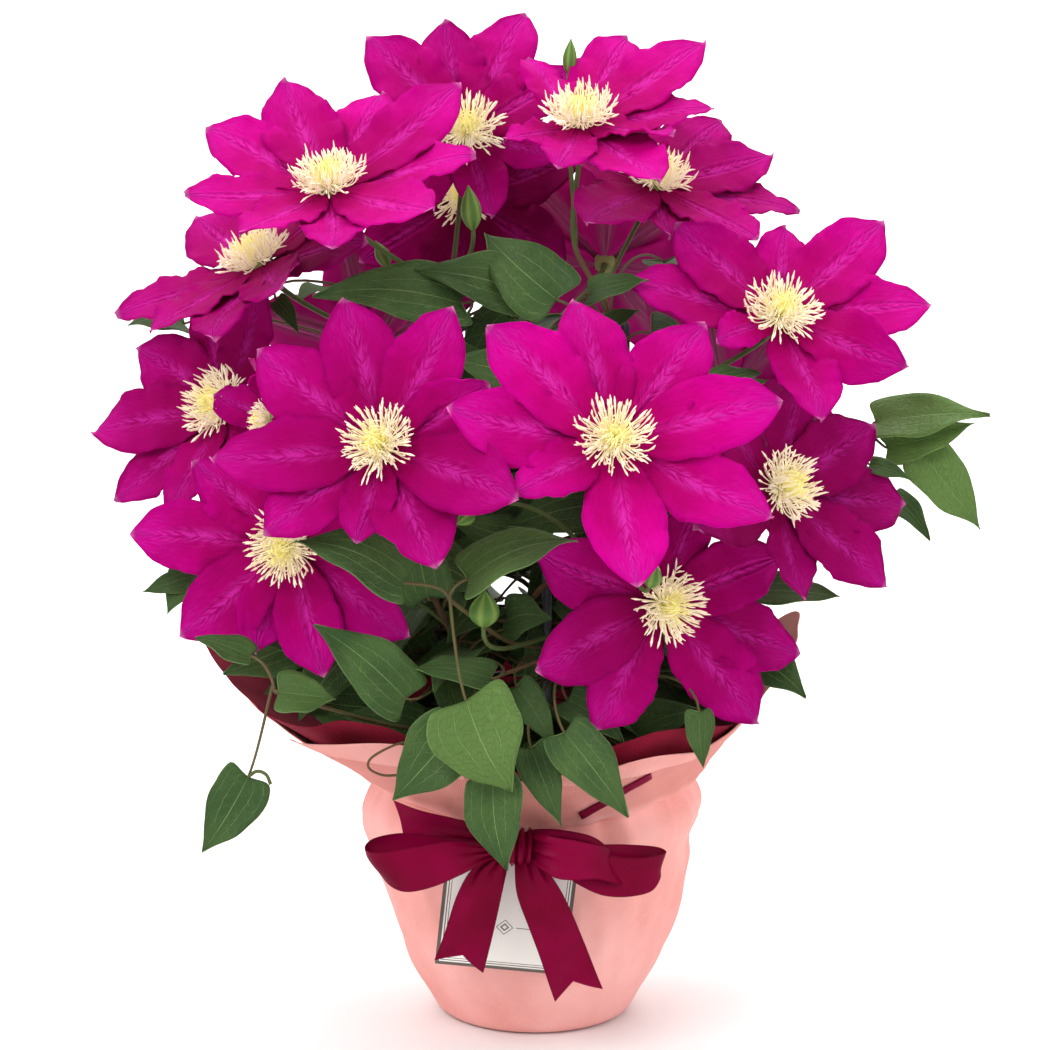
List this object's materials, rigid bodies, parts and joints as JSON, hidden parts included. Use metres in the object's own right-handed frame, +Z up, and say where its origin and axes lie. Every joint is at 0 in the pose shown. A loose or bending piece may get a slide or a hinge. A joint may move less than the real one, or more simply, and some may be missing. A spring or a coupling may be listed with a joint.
{
  "type": "potted clematis on a lantern trellis",
  "caption": "Flowering clematis vine on a small lantern trellis in a gift-wrapped pot with a satin bow and a bordered card",
  "frame": {"origin": "centre of the flat underside of the wrapped pot, on the surface it stands on", "axes": "+Z up, +X to the right and -Y to the front, the side with the bow and the card"},
  "size_m": [0.4008, 0.3011, 0.4533],
  "materials": {
    "petal": "matt, velvety",
    "stamen": "matt",
    "leaf": "soft sheen",
    "wrap": "matt non-woven",
    "lining": "matt non-woven",
    "ribbon": "satin",
    "card": "matt",
    "pot": "matt",
    "soil": "rough",
    "trellis": "satin coated"
  },
  "bodies": {
    "root": {"bloom_01": "petal", "bloom_02": "petal", "bloom_03": "petal", "bloom_04": "petal", "bloom_05": "petal", "bloom_06": "petal", "bloom_07": "petal", "bloom_08": "petal", "bloom_09": "petal", "bloom_10": "petal", "bloom_11": "petal", "bloom_12": "petal", "bloom_13": "petal", "bloom_14": "petal", "bloom_15": "petal", "bloom_16": "petal", "bloom_17": "petal", "card": "card", "pot": "pot", "ribbon_bow": "ribbon", "ring_high_a": "trellis", "ring_high_b": "trellis", "ring_high_c": "trellis", "ring_low_a": "trellis", "ring_low_b": "trellis", "ring_low_c": "trellis", "soil": "soil", "stamens_01": "stamen", "stamens_02": "stamen", "stamens_03": "stamen", "stamens_04": "stamen", "stamens_05": "stamen", "stamens_06": "stamen", "stamens_07": "stamen", "stamens_08": "stamen", "stamens_09": "stamen", "stamens_10": "stamen", "stamens_11": "stamen", "stamens_12": "stamen", "stamens_13": "stamen", "stamens_14": "stamen", "stamens_15": "stamen", "stamens_16": "stamen", "stamens_17": "stamen", "trellis_pole_back": "trellis", "trellis_pole_front": "trellis", "trellis_pole_right": "trellis", "vine_back": "leaf", "vine_front_left": "leaf", "vine_front_right": "leaf", "vine_left": "leaf", "vine_right": "leaf", "wrap_lining": "lining", "wrap_outer": "wrap"}
  },
  "joints": []
}
